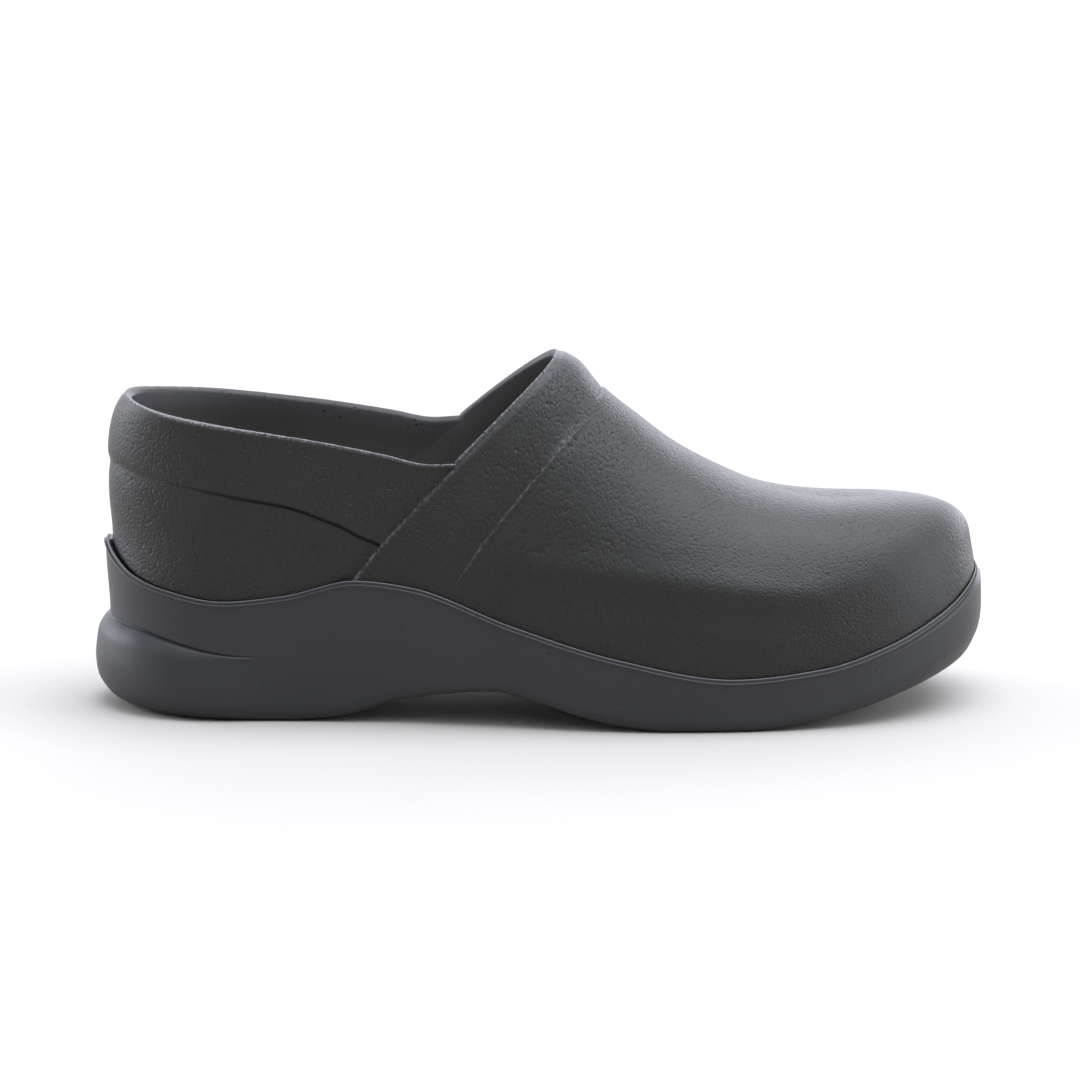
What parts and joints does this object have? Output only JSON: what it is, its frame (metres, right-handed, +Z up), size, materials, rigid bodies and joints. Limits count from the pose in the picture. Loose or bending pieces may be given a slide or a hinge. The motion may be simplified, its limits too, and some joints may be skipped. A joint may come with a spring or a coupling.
{
  "type": "chef clog",
  "caption": "Closed-heel chef clog for the right foot: hollow moulded upper with open collar and throat, sole with lip, heel tier, arch and toe spring, and a removable footbed",
  "frame": {"origin": "middle of the bounding box in plan, on the floor under the sole", "axes": "+X to the toe, +Y to the inner side of the foot, +Z up"},
  "size_m": [0.2902, 0.1076, 0.1154],
  "materials": {
    "upper": "charcoal foam polymer with a pebbled leather grain, satin",
    "sole": "charcoal foam polymer, smooth and satin",
    "insole": "dark grey foam with a fine matt cover"
  },
  "bodies": {
    "root": {"upper": "upper", "sole": "sole", "insole": "insole"}
  },
  "joints": []
}
